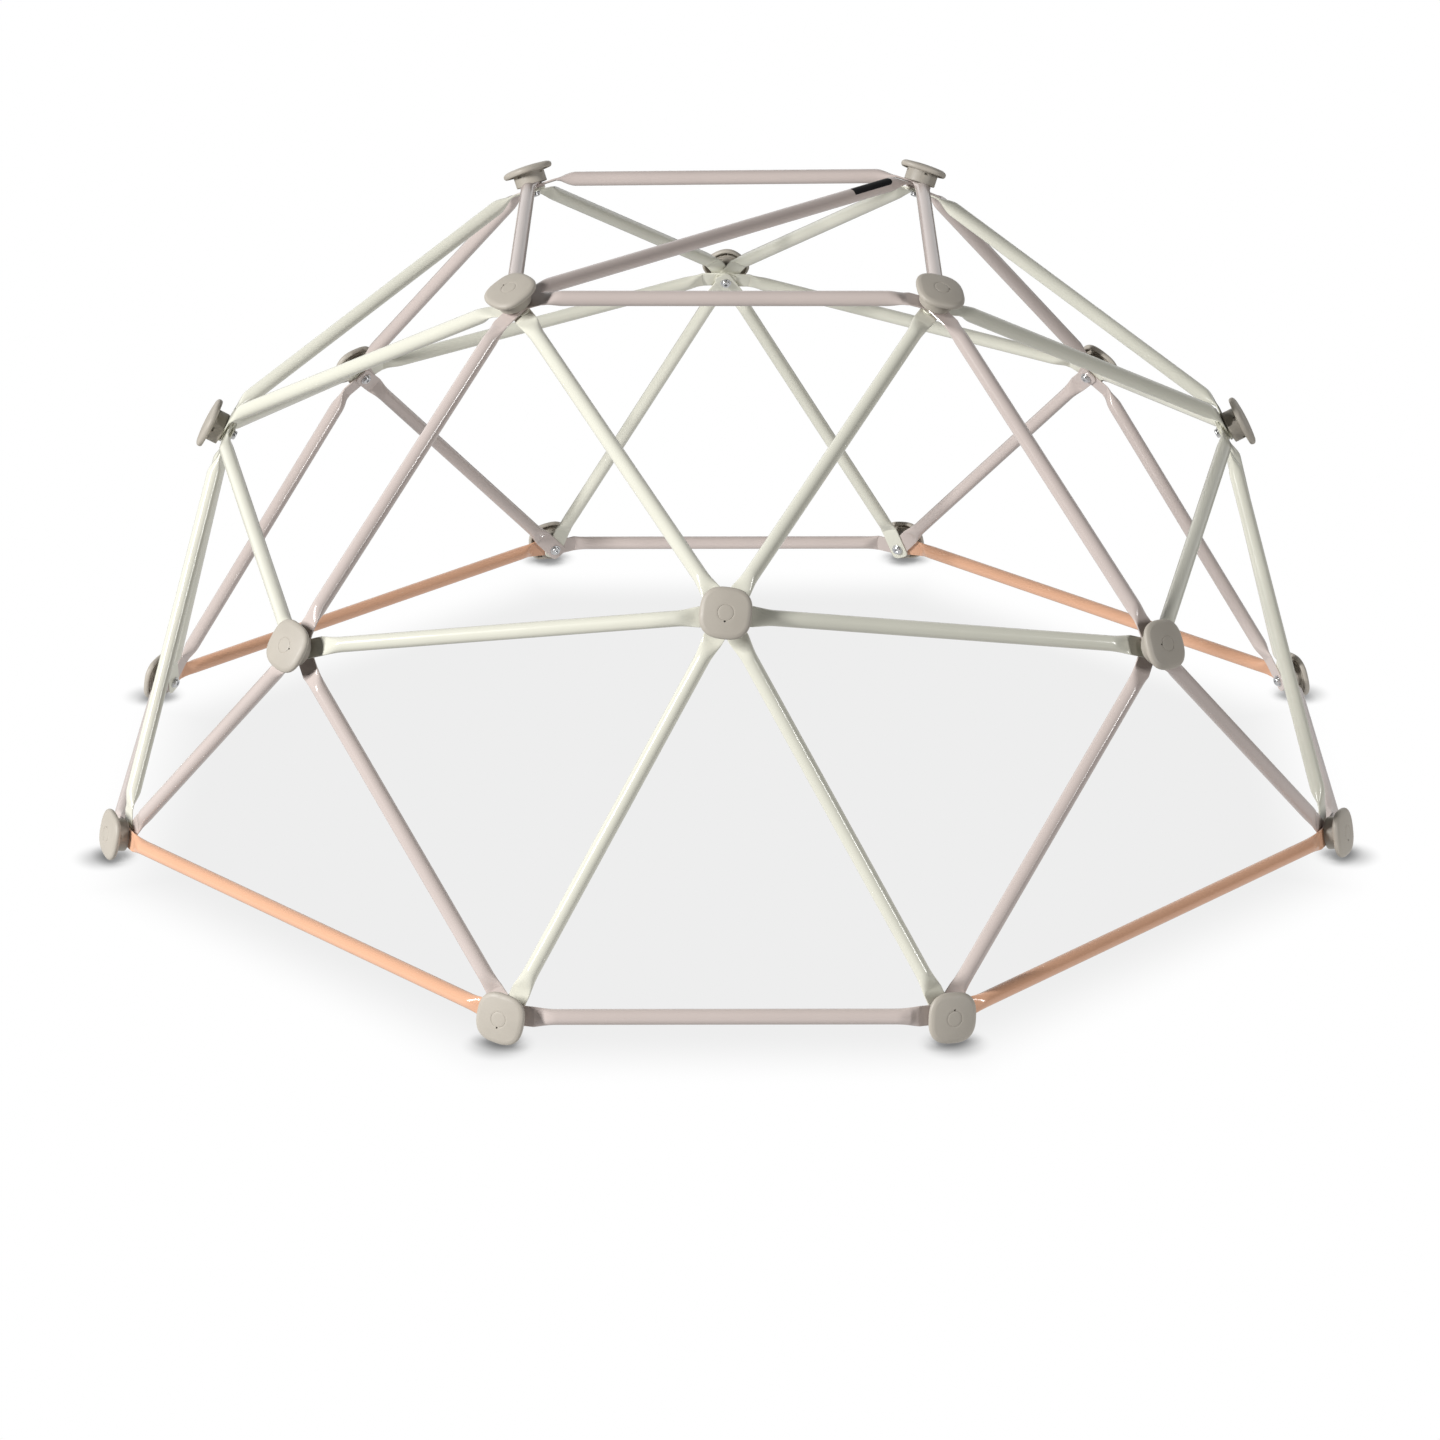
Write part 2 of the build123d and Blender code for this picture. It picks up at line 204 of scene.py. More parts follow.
RING = 48                       # points around a tube
HOLE_STEPS = 4                  # ring points each side of the bolt's axis
TAB_CELL = (2 * (TAB_W - TAB_T) + math.pi * TAB_T) / RING   # spacing of a tab's points
SLIT_T = 0.35                   # seam between the pressed walls, at the tab's end
SLIT_DEPTH = 2.0
SLIT_INSET = 1.2                # how far the seam stops short of the tab's sides
CORNER_RINGS = 6                # steps round a tab's rounded corners
PRESSED_RINGS = (12.0, 20.0, 30.0, CREASE - 2.5, CREASE - 0.7)    # from bolt to crease
BOW_FROM = 6.0                  # where the rings start to bow towards the crease's arc
FLARE_RINGS = (0.03, 0.08, 0.14, 0.21, 0.28, 0.36, 0.44, 0.52, 0.6, 0.68, 0.76, 0.84, 0.92, 1.0)
FLARE_POWER = 1.15              # lower makes the tube swell faster behind the crease
SWELL_BY = 0.35                 # share of the swelling after which the section is an oval
MIDDLE_RINGS = (0.25, 0.5, 0.75)
SHARP_TUBE, SHARP_CAP = 38.0, 35.0      # edges that turn more than this stay sharp


def pressed_section(thickness, squeeze=1.0, inset=0.0):
    """Points around the tube pressed to this thickness, evenly along its girth."""
    pressed = (TUBE_D - thickness) / (TUBE_D - TAB_T)
    flat = TUBE_D + (TAB_W - TUBE_D) * pressed - thickness
    radius = thickness / 2
    bend = math.pi * radius / 2
    girth = 4 * bend + 2 * flat
    swell = min(1.0, (1 - pressed) / SWELL_BY)
    oval = swell * swell * (3 - 2 * swell)
    points = []
    for step in range(RING):
        s = step * girth / RING
        if s < bend:
            u, v = flat / 2 + radius * math.cos(s / radius), radius * math.sin(s / radius)
        elif s < bend + flat:
            u, v = flat / 2 - (s - bend), radius
        elif s < 3 * bend + flat:
            angle = math.pi / 2 + (s - bend - flat) / radius
            u, v = -flat / 2 + radius * math.cos(angle), radius * math.sin(angle)
        elif s < 3 * bend + 2 * flat:
            u, v = -flat / 2 + (s - 3 * bend - flat), -radius
        else:
            angle = 1.5 * math.pi + (s - 3 * bend - 2 * flat) / radius
            u, v = flat / 2 + radius * math.cos(angle), radius * math.sin(angle)
        angle = 2 * math.pi * step / RING
        u += ((flat / 2 + radius) * math.cos(angle) - u) * oval
        v += (radius * math.sin(angle) - v) * oval
        if inset:
            u -= math.copysign(min(abs(u), inset), u)
            v *= SLIT_T / thickness
        points.append((u * squeeze, v))
    return points


def end_rings(bolt, axis, out, crease, heading, flip):
    """Rings of points from the slit in a tab's end to the start of the round tube."""
    side = axis.cross(out) * (-1 if flip else 1)

    def ring(at, through, thickness, squeeze=1.0, inset=0.0, bow=0.0):
        """One ring; its sides lag behind by bow times the sag of the crease's arc."""
        points = []
        for u, v in pressed_section(thickness, squeeze, inset):
            sag = CREASE - math.sqrt(CREASE ** 2 - u ** 2)
            points.append(at + side * u + through * v - out * (sag * bow))
        return points

    rings = []
    tip = bolt - out * TAB_END
    tip_squeeze = (TAB_W - 2 * TAB_CORNER) / TAB_W
    rings.append(ring(tip + out * SLIT_DEPTH, axis, TAB_T, tip_squeeze, SLIT_INSET))
    rings.append(ring(tip, axis, TAB_T, tip_squeeze, SLIT_INSET))
    for step in range(CORNER_RINGS + 1):
        angle = math.radians(90 * step / CORNER_RINGS)
        x = -TAB_END + TAB_CORNER * (1 - math.cos(angle))
        half = TAB_W / 2 - TAB_CORNER * (1 - math.sin(angle))
        rings.append(ring(bolt + out * x, axis, TAB_T, 2 * half / TAB_W))
    hole_row = len(rings)
    for step in range(-HOLE_STEPS, HOLE_STEPS + 1):
        rings.append(ring(bolt + out * (step * TAB_CELL), axis, TAB_T))
    for x in PRESSED_RINGS:
        bow = (x - BOW_FROM) / (CREASE - BOW_FROM)
        rings.append(ring(bolt + out * x, axis, TAB_T, bow=bow))
    bisector = (out + heading).normalized()
    across_bend = (axis - bisector * axis.dot(bisector)).normalized()
    rings.append(ring(crease, across_bend, TAB_T, bow=1.0))
    through = (axis - heading * axis.dot(heading)).normalized()
    for share in FLARE_RINGS:
        rise = math.sin(share * math.pi / 2) ** FLARE_POWER
        thickness = TAB_T + (TUBE_D - TAB_T) * rise
        rings.append(ring(crease + heading * (share * FLARE), through, thickness, bow=1 - share))
    return rings, hole_row


def strut_mesh(name, line):
    """One tube with both pressed, drilled tabs, as a closed mesh."""
    bolts, axes, outs, creases, along = line
    near, hole_row = end_rings(bolts[0], axes[0], outs[0], creases[0], along, False)
    far, _ = end_rings(bolts[1], axes[1], outs[1], creases[1], -along, True)
    # turn the far end's rings so that they meet the near ones with the least twist
    side, through = axes[0].cross(outs[0]), along.cross(axes[0].cross(outs[0]))
    start = -(axes[1].cross(outs[1]))
    lead = math.atan2(start.dot(through), start.dot(side))
    turn = round(lead / (2 * math.pi / RING))
    far = [[ring[(i - turn) % RING] for i in range(RING)] for ring in reversed(far)]
    middle = [[a.lerp(b, share) for a, b in zip(near[-1], far[0])] for share in MIDDLE_RINGS]
    rings = near + middle + far
    verts = [point for ring in rings for point in ring]
    faces = []
    skip = set()
    last = len(rings) - 1
    for row in range(hole_row, hole_row + 2 * HOLE_STEPS):
        for centre in (RING // 4, 3 * RING // 4):
            for j in range(-HOLE_STEPS, HOLE_STEPS):
                skip.add((row, (centre + j) % RING))
                skip.add((last - row - 1, (centre + j + turn) % RING))
    for row in range(last):
        for i in range(RING):
            if (row, i) in skip:
                continue
            k = (i + 1) % RING
            here, ahead = row * RING, (row + 1) * RING
            faces.append((here + i, here + k, ahead + k, ahead + i))
    for row, shift, flip in ((0, 0, True), (last, turn, False)):
        for i in range(RING // 2):
            quad = [i, i + 1, RING - i - 1, RING - i]
            # the first and last strips close to triangles, so repeated corners go
            quad = list(dict.fromkeys((q % RING + shift) % RING + row * RING for q in quad))
            faces.append(tuple(reversed(quad)) if flip else tuple(quad))
    for end in (0, 1):
        rims = []
        for centre in (RING // 4, 3 * RING // 4):
            rows = list(range(hole_row, hole_row + 2 * HOLE_STEPS + 1))
            shift = 0
            if end:
                rows = [last - row for row in reversed(rows)]
                shift = turn
            columns = [(centre + j + shift) % RING for j in range(-HOLE_STEPS, HOLE_STEPS + 1)]
            loop = [(rows[0], c) for c in columns]
            loop += [(r, columns[-1]) for r in rows[1:]]
            loop += [(rows[-1], c) for c in reversed(columns[:-1])]
            loop += [(r, columns[0]) for r in reversed(rows[1:-1])]
            outer = [r * RING + c for r, c in loop]
            middle_point = sum((verts[i] for i in outer), Vector()) / len(outer)
            inner = []
            for index in outer:
                spoke = (verts[index] - middle_point).normalized()
                inner.append(len(verts))
                verts.append(middle_point + spoke * (BOLT_HOLE / 2))
            count = len(outer)
            for i in range(count):
                k = (i + 1) % count
                faces.append((outer[i], outer[k], inner[k], inner[i]))
            rims.append(inner)
        top, bottom = rims
        count = len(top)
        # the second rim runs the same way round its own face, so match by nearness
        pair = [min(bottom, key=lambda b: (verts[b] - verts[t]).length) for t in top]
        for i in range(count):
            k = (i + 1) % count
            faces.append((top[i], top[k], pair[k], pair[i]))
    mesh = bpy.data.meshes.new(name)
    mesh.from_pydata([v * MM for v in verts], [], faces)
    return mesh


def finish_mesh(mesh, sharp):
    """Outward normals, smooth shading and sharp edges where the surface turns."""
    shape = bmesh.new()
    shape.from_mesh(mesh)
    bmesh.ops.remove_doubles(shape, verts=shape.verts, dist=1e-7)
    bmesh.ops.recalc_face_normals(shape, faces=shape.faces)
    shape.to_mesh(mesh)
    shape.free()
    mesh.shade_smooth()
    mesh.set_sharp_from_angle(angle=math.radians(sharp))


def add_piece(name, mesh, material, replaced):
    piece = bpy.data.objects.new(name, mesh)
    bpy.context.scene.collection.objects.link(piece)
    mesh.materials.clear()
    mesh.materials.append(material)
    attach(piece, ROOT)
    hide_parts(replaced)
    return piece


# ---------------------------------------------------------------- hub caps

FACE_R = 30.0                   # where the domed face gives way to the bevelled edge
FACE_SQUARE = 0.9               # how square the face is there
EDGE_STEPS = 10
SIDE_FOOT = 4.6                 # height where the side starts to round under
LIP = 3.0                       # how far in the rounded rim goes
LIP_STEPS = 7
COLLAR_FOOT = 2.0               # the collar stops this far above the rim
RIB_FOOT = 2.6                  # and the ribs this far
STEPS_BETWEEN_RIBS = 7
DRILL_SIDES = 20


def squircle_reach(angle, squareness):
    """1 on the sides; further out at the corners as squareness goes from 0 to 1."""
    power = CAP_POWER
    reach = (abs(math.cos(angle)) ** power + abs(math.sin(angle)) ** power) ** (-1 / power)
    return 1 + (reach - 1) * squareness


def cap_dome(reach):
    """Height of the domed face this far from the cap's middle."""
    return CAP_T - CAP_CROWN * (reach / (CAP_W / 2)) ** 2


def cap_edge():
    """Radius and height down the cap's edge: a soft bevel that rolls into the side."""
    half = CAP_W / 2
    corners = ((FACE_R, cap_dome(FACE_R)), (32.8, 9.1), (half, 8.0), (half, SIDE_FOOT))
    found = []
    for step in range(1, EDGE_STEPS + 1):
        t = step / EDGE_STEPS
        weights = ((1 - t) ** 3, 3 * t * (1 - t) ** 2, 3 * t * t * (1 - t), t ** 3)
        found.append(tuple(sum(w * c[i] for w, c in zip(weights, corners)) for i in (0, 1)))
    return found


def cap_mesh():
    """Hub cap around its own Z, lower rim at z = 0: one closed skin with its ribs."""
    half = CAP_W / 2
    # (radius, height, squareness) from the face's middle outwards; on the face the
    # height is counted from the dome
    ring_out, ring_in = EMBLEM_D / 2, EMBLEM_D / 2 - EMBLEM_GROOVE
    face = [(4.0, 0.0, 0), (7.5, 0.0, 0)]
    face += [
        (ring_in - 0.3, 0.0, 0), (ring_in, -0.10, 0),
        (ring_in + 0.2, -0.45, 0), (ring_out - 0.2, -0.45, 0),
        (ring_out, -0.10, 0), (ring_out + 0.3, 0.0, 0),
    ]
    face += [(14, 0, 0.15), (18, 0, 0.35), (22, 0, 0.55), (26, 0, 0.75)]
    face += [(FACE_R - 1.5, 0, 0.86), (FACE_R, 0, FACE_SQUARE)]
    edge = []
    for radius, height in cap_edge():
        share = (radius - FACE_R) / (half - FACE_R)
        edge.append((radius, height, FACE_SQUARE + (1 - FACE_SQUARE) * share))
    for step in range(1, LIP_STEPS + 1):
        angle = math.radians(90 * step / LIP_STEPS)
        out = half - LIP + LIP * math.cos(angle)
        edge.append((out, SIDE_FOOT - SIDE_FOOT * math.sin(angle), 1.0))
    edge.append((half - LIP - 1.0, 0.25, 1.0))
    floor = CAP_T - CAP_SKIN
    wall_in = half - LIP - 1.6
    edge.append((wall_in, 1.0, 1.0))
    edge.append((wall_in - 0.4, floor - 1.0, 1.0))
    collar_out, collar_in = COLLAR_D / 2, CUP_D / 2 + 0.3
    ribbed = [(wall_in - 1.4, floor, 1.0), (30.5, floor, 0.55), (collar_out + 1.0, floor, 0.1)]
    inner = [
        (collar_out, floor - 0.8, 0), (collar_out, COLLAR_FOOT, 0),
        (collar_out - 0.5, COLLAR_FOOT - 0.4, 0), (collar_in + 0.5, COLLAR_FOOT - 0.4, 0),
        (collar_in, COLLAR_FOOT, 0), (collar_in, floor - 0.5, 0),
        (collar_in - 0.8, floor, 0), (12.0, floor, 0), (0.0, floor, 0),
    ]
    rib_drop = floor - RIB_FOOT
    verts = []
    rows = []

    def angles_at(radius):
        """Angles around a ring, with a close pair of points at each side of a rib."""
        half_rib = math.asin(min(0.5, RIB_T / 2 / max(radius, 4.0)))
        skirt = half_rib * 1.12 + 0.0002
        found = []
        pitch = 2 * math.pi / CAP_RIBS
        for count in range(CAP_RIBS):
            at = count * pitch
            found += [(at - half_rib, True), (at, True), (at + half_rib, True)]
            gap = pitch - 2 * skirt
            for step in range(STEPS_BETWEEN_RIBS + 1):
                found.append((at + skirt + gap * step / STEPS_BETWEEN_RIBS, False))
        return found

    def add_row(radius, height, squareness, ribs=False, domed=False):
        row = []
        for angle, on_rib in angles_at(radius):
            reach = radius * squircle_reach(angle, squareness)
            z = height - rib_drop if ribs and on_rib else height
            if domed:
                z += cap_dome(reach)
            row.append(len(verts))
            verts.append((reach * math.cos(angle), reach * math.sin(angle), z))
        rows.append(row)

    for radius, height, squareness in face:
        add_row(radius, height, squareness, domed=True)
    for radius, height, squareness in edge:
        add_row(radius, height, squareness)
    for radius, height, squareness in ribbed:
        add_row(radius, height, squareness, ribs=True)
    for radius, height, squareness in inner[:-1]:
        add_row(radius, height, squareness)
    faces = []
    count = len(rows[0])
    top = len(verts)
    verts.append((0, 0, CAP_T))
    under = len(verts)
    verts.append((0, 0, inner[-1][1]))
    for i in range(count):
        k = (i + 1) % count
        faces.append((top, rows[0][i], rows[0][k]))
        faces.append((under, rows[-1][k], rows[-1][i]))
        for upper, lower in zip(rows, rows[1:]):
            faces.append((upper[i], lower[i], lower[k], upper[k]))
    mesh = bpy.data.meshes.new("hub_cap")
    mesh.from_pydata([Vector(v) * MM for v in verts], [], faces)
    finish_mesh(mesh, SHARP_CAP)
    pin_hole = (0, -PIN_HOLE_OUT * MM, CAP_T * MM)
    return drilled(mesh, pin_hole, PIN_HOLE_D / 2 * MM, (CAP_SKIN + 1) * MM)


def drilled(mesh, at, radius, depth):
    """The mesh with one round hole sunk this deep from this point."""
    count = DRILL_SIDES
    turns = [2 * math.pi * i / count for i in range(count)]
    ring = [(math.cos(turn) * radius, math.sin(turn) * radius) for turn in turns]
    verts = [(at[0] + x, at[1] + y, at[2] + z) for z in (-depth, depth) for x, y in ring]
    faces = [tuple(reversed(range(count))), tuple(range(count, 2 * count))]
    faces += [(i, (i + 1) % count, (i + 1) % count + count, i + count) for i in range(count)]
    drill_mesh = bpy.data.meshes.new("drill")
    drill_mesh.from_pydata(verts, [], faces)
    drill = bpy.data.objects.new("drill", drill_mesh)
    body = bpy.data.objects.new("drilled", mesh)
    for item in (drill, body):
        bpy.context.scene.collection.objects.link(item)
    cut = body.modifiers.new("cut", "BOOLEAN")
    cut.operation = "DIFFERENCE"
    cut.solver = "EXACT"
    cut.object = drill
    graph = bpy.context.evaluated_depsgraph_get()
    result = bpy.data.meshes.new_from_object(body.evaluated_get(graph))
    for item in (drill, body):
        bpy.data.objects.remove(item)
    for spent in (drill_mesh, mesh):
        bpy.data.meshes.remove(spent)
    result.shade_smooth()
    result.set_sharp_from_angle(angle=math.radians(SHARP_CAP))
    return result


def cap_roll(name):
    """How far each cap is turned, as in the CAD."""
    if name.startswith("base"):
        return -7.0 if name.endswith("a") else 173.0
    return CAP_TURNS[name]


# ---------------------------------------------------------------- materials

NOISE_RANGE = (0.3, 0.7)        # where most of a noise's values lie


def map_range(tree, value, from_low, from_high, to_low, to_high, smooth=False):
    """Node that maps one range of a value onto another, held at both ends."""
    node = tree.nodes.new("ShaderNodeMapRange")
    if smooth:
        node.interpolation_type = "SMOOTHSTEP"
    node.inputs["From Min"].default_value = from_low
    node.inputs["From Max"].default_value = from_high
    node.inputs["To Min"].default_value = to_low
    node.inputs["To Max"].default_value = to_high
    tree.links.new(value, node.inputs["Value"])
    return node.outputs["Result"]


def maths(tree, operation, *values):
    """Node that works on up to three sockets or plain numbers."""
    node = tree.nodes.new("ShaderNodeMath")
    node.operation = operation
    for socket, value in zip(node.inputs, values):
        if isinstance(value, float):
            socket.default_value = value
        else:
            tree.links.new(value, socket)
    return node.outputs[0]


def seen_or_felt(tree, seen, felt):
    """The first value where the camera looks straight at it, the second for all other rays."""
    node = tree.nodes.new("ShaderNodeMix")
    path = tree.nodes.new("ShaderNodeLightPath")
    tree.links.new(path.outputs["Is Camera Ray"], node.inputs["Factor"])
    tree.links.new(felt, node.inputs["A"])
    if isinstance(seen, float):
        node.inputs["B"].default_value = seen
    else:
        tree.links.new(seen, node.inputs["B"])
    return node.outputs["Result"]


class Nodes:
    """A new node material with its shader, and short ways to add nodes."""

    def __init__(self, name):
        self.material = bpy.data.materials.new(name)
        self.material.use_nodes = True
        self.tree = self.material.node_tree
        self.shader = self.tree.nodes["Principled BSDF"]
        self.coords = self.add("ShaderNodeTexCoord").outputs["Object"]

    def add(self, kind, **values):
        node = self.tree.nodes.new(kind)
        for key, value in values.items():
            setattr(node, key, value)
        return node

    def link(self, source, target):
        self.tree.links.new(source, target)

    def set(self, **values):
        for key, value in values.items():
            self.shader.inputs[key.replace("_", " ")].default_value = value

    def noise(self, scale, detail=2.0, roughness=0.5):
        node = self.add("ShaderNodeTexNoise")
        node.inputs["Scale"].default_value = scale
        node.inputs["Detail"].default_value = detail
        node.inputs["Roughness"].default_value = roughness
        self.link(self.coords, node.inputs["Vector"])
        return node.outputs["Fac"]

    def spread(self, source, low, high):
        """The noise's usual range stretched from low to high."""
        return map_range(self.tree, source, *NOISE_RANGE, low, high)

    def between(self, source, low, high):
        node = self.add("ShaderNodeMix", data_type="RGBA")
        node.inputs["A"].default_value = (*low, 1)
        node.inputs["B"].default_value = (*high, 1)
        self.link(source, node.inputs["Factor"])
        return node.outputs["Result"]

    def bump(self, source, strength, distance):
        node = self.add("ShaderNodeBump")
        node.inputs["Strength"].default_value = strength
        node.inputs["Distance"].default_value = distance
        self.link(source, node.inputs["Height"])
        self.link(node.outputs["Normal"], self.shader.inputs["Normal"])


def shade(colour, factor):
    return tuple(min(1.0, c * factor) for c in colour)


def paint_material(name, colour):
    """Smooth powder coat: faint orange peel, slow colour drift, semi-gloss."""
    nodes = Nodes(name)
    drift = nodes.spread(nodes.noise(7.0, 3.0), 0.0, 1.0)
    tone = nodes.between(drift, shade(colour, 0.975), shade(colour, 1.02))
    nodes.link(tone, nodes.shader.inputs["Base Color"])
    rough = nodes.spread(nodes.noise(40.0, 3.0), 0.14, 0.19)
    nodes.link(rough, nodes.shader.inputs["Roughness"])
    nodes.bump(nodes.noise(900.0, 2.0), 0.03, 0.00005)
    nodes.set(IOR=1.5)
    return nodes.material


def plastic_material(name, colour):
    """Moulded plastic: fine eroded texture, slightly uneven sheen."""
    nodes = Nodes(name)
    drift = nodes.spread(nodes.noise(22.0, 3.0), 0.0, 1.0)
    tone = nodes.between(drift, shade(colour, 0.96), shade(colour, 1.03))
    nodes.link(tone, nodes.shader.inputs["Base Color"])
    rough = nodes.spread(nodes.noise(90.0, 3.0), 0.46, 0.58)
    nodes.link(rough, nodes.shader.inputs["Roughness"])
    nodes.bump(nodes.noise(1100.0, 2.0, 0.6), 0.25, 0.0003)
    return nodes.material


def zinc_material(name):
    """Bright zinc plate with a fine grain and a cloudy passivated film."""
    nodes = Nodes(name)
    film = nodes.spread(nodes.noise(160.0, 3.0), 0.0, 1.0)
    tone = nodes.between(film, (0.62, 0.63, 0.66), (0.80, 0.80, 0.79))
    nodes.link(tone, nodes.shader.inputs["Base Color"])
    rough = nodes.spread(nodes.noise(420.0, 3.0), 0.22, 0.42)
    nodes.link(rough, nodes.shader.inputs["Roughness"])
    nodes.bump(nodes.noise(900.0, 2.0), 0.15, 0.0002)
    nodes.set(Metallic=1.0)
    return nodes.material


def label_material(name):
    """Black printed film, slightly uneven and softly glossy."""
    nodes = Nodes(name)
    drift = nodes.spread(nodes.noise(60.0, 2.0), 0.0, 1.0)
    tone = nodes.between(drift, (0.004, 0.004, 0.005), (0.008, 0.008, 0.010))
    nodes.link(tone, nodes.shader.inputs["Base Color"])
    rough = nodes.spread(nodes.noise(200.0, 2.0), 0.50, 0.60)
    nodes.link(rough, nodes.shader.inputs["Roughness"])
    nodes.bump(nodes.noise(500.0, 2.0), 0.10, 0.0002)
    nodes.set(Specular_IOR_Level=0.2)
    return nodes.material


CREAM = (0.745, 0.735, 0.635)
MAUVE = (0.60, 0.52, 0.485)
PEACH = (0.74, 0.425, 0.275)
CAP_GREY = (0.47, 0.43, 0.37)
CUP_GREY = (0.42, 0.385, 0.33)

materials = {
    "cream_paint": paint_material("cream_powder_coat", CREAM),
    "mauve_paint": paint_material("mauve_powder_coat", MAUVE),
    "peach_paint": paint_material("peach_powder_coat", PEACH),
    "cap_plastic": plastic_material("cap_plastic", CAP_GREY),
    "cup_plastic": plastic_material("cup_plastic", CUP_GREY),
    "zinc_steel": zinc_material("zinc_plate"),
    "label_film": label_material("label_film"),
}
slot_of = {part["node"]: part["material_slot"] for part in frame["record"]["subparts"]}

# ---------------------------------------------------------------- the pieces

hubs = make_hubs()
struts = strut_table()
for name, ends in struts.items():
    for end in ends:
        hubs[end].tabs.append(name)

for name, ends in struts.items():
    mesh = strut_mesh(name, strut_line(hubs, name, ends))
    finish_mesh(mesh, SHARP_TUBE)
    add_piece("tube_" + name, mesh, materials[slot_of[name]], name)

cap = cap_mesh()
for name, hub in hubs.items():
    level = "middle" if name.startswith(("side", "corner")) else name.split("_")[0]
    seat = len(hub.tabs) * LAYER / 2 + FIT_GAP + CAP_LIFT
    placed = cap.copy()
    placed.transform(hub.place(seat, cap_roll(name)))
    add_piece("cap_" + name, placed, materials["cap_plastic"], f"{level}_hub_caps")

for name, node in frame["nodes"].items():
    if node.hide_render:
        continue
    node.data.materials.clear()
    node.data.materials.append(materials[slot_of[name]])
    for polygon in node.data.polygons:
        polygon.material_index = 0

# ---------------------------------------------------------------- the studio

FLOOR_SIZE = 60.0
FLOOR_GLOW = 0.64       # light the floor throws up at the dome, close by and far out
FAR_GLOW = 0.08
GLOW_FROM, GLOW_TO = 0.9, 2.5
POOL_SHADE = 0.855      # tone of the pool of shade under the dome
POOL_REACH = 0.80       # its half width, and the width of its soft edge
POOL_EDGE = 0.17
POOL_FORWARD = 0.09
POOL_SLANT = 0.732
CONTACT_REACH = 0.019   # close shade around whatever stands on the floor
CONTACT_SAMPLES = 16
CONTACT_RANGE = (0.5, 0.98)             # openness of the floor where it is darkest, clear
CONTACT_SHADE = 0.55
FOOT_FAR, FOOT_NEAR = 0.932, 0.314      # where a base cap meets the floor
FOOT_REACH = 0.056
FOOT_SHADE = 0.42
ROOM_LIGHT = 0.02
BACKDROP_LIGHT = 1.0
BACKDROP_TOP = 0.25     # how much of the backdrop's light is left overhead
BACKDROP_BEHIND = (0.1, 0.75)           # where it starts and is full, towards +Y
BACKDROP_HEIGHT = (0.25, 0.85)          # where it starts and ends fading, towards +Z


def floor_material(name):
    """White sweep: a faint pool of shade under the dome and soft shade at its feet."""
    material = bpy.data.materials.new(name)
    material.use_nodes = True
    tree = material.node_tree
    tree.nodes.remove(tree.nodes["Principled BSDF"])
    material.cycles.emission_sampling = "NONE"

    # how far out on the floor, measured in octagons around the dome's footprint
    place = tree.nodes.new("ShaderNodeSeparateXYZ")
    tree.links.new(tree.nodes.new("ShaderNodeTexCoord").outputs["Object"], place.inputs[0])
    across = maths(tree, "ABSOLUTE", place.outputs["X"])
    deep = maths(tree, "ABSOLUTE", maths(tree, "ADD", place.outputs["Y"], POOL_FORWARD))
    slant = maths(tree, "MULTIPLY", maths(tree, "ADD", across, deep), POOL_SLANT)
    out = maths(tree, "MAXIMUM", maths(tree, "MAXIMUM", across, deep), slant)
    pool = map_range(tree, out, POOL_REACH, POOL_REACH + POOL_EDGE, POOL_SHADE, 1.0, True)

    # the eight base caps stand alike on the floor: fold it onto one of them
    depth = maths(tree, "ABSOLUTE", place.outputs["Y"])
    off_far = maths(tree, "SUBTRACT", maths(tree, "MAXIMUM", across, depth), FOOT_FAR)
    off_near = maths(tree, "SUBTRACT", maths(tree, "MINIMUM", across, depth), FOOT_NEAR)
    far_square = maths(tree, "MULTIPLY", off_far, off_far)
    near_square = maths(tree, "MULTIPLY", off_near, off_near)
    off = maths(tree, "SQRT", maths(tree, "ADD", far_square, near_square))
    foot = map_range(tree, off, 0.0, FOOT_REACH, FOOT_SHADE, 1.0, True)

    closeness = tree.nodes.new("ShaderNodeAmbientOcclusion")
    closeness.samples = CONTACT_SAMPLES
    closeness.inputs["Distance"].default_value = CONTACT_REACH
    contact = map_range(tree, closeness.outputs["AO"], *CONTACT_RANGE, CONTACT_SHADE, 1.0)

    tone = maths(tree, "MULTIPLY", maths(tree, "MULTIPLY", pool, foot), contact)
    # what the floor throws back at the dome dims further out
    thrown = map_range(tree, out, GLOW_FROM, GLOW_TO, FLOOR_GLOW, FAR_GLOW, True)
    glow = tree.nodes.new("ShaderNodeEmission")
    tree.links.new(seen_or_felt(tree, tone, thrown), glow.inputs["Strength"])
    tree.links.new(glow.outputs["Emission"], tree.nodes["Material Output"].inputs["Surface"])
    return material


floor_mesh = bpy.data.meshes.new("studio_floor")
reach = FLOOR_SIZE / 2
floor_corners = [(-reach, -reach, 0), (reach, -reach, 0), (reach, reach, 0), (-reach, reach, 0)]
floor_mesh.from_pydata(floor_corners, [], [(0, 1, 2, 3)])
floor = bpy.data.objects.new("studio_floor", floor_mesh)
bpy.context.scene.collection.objects.link(floor)
floor_mesh.materials.append(floor_material("pale_floor"))

LIGHT_AWAY = 8.0
LIGHT_AIM = Vector((0, 0, 0.4))


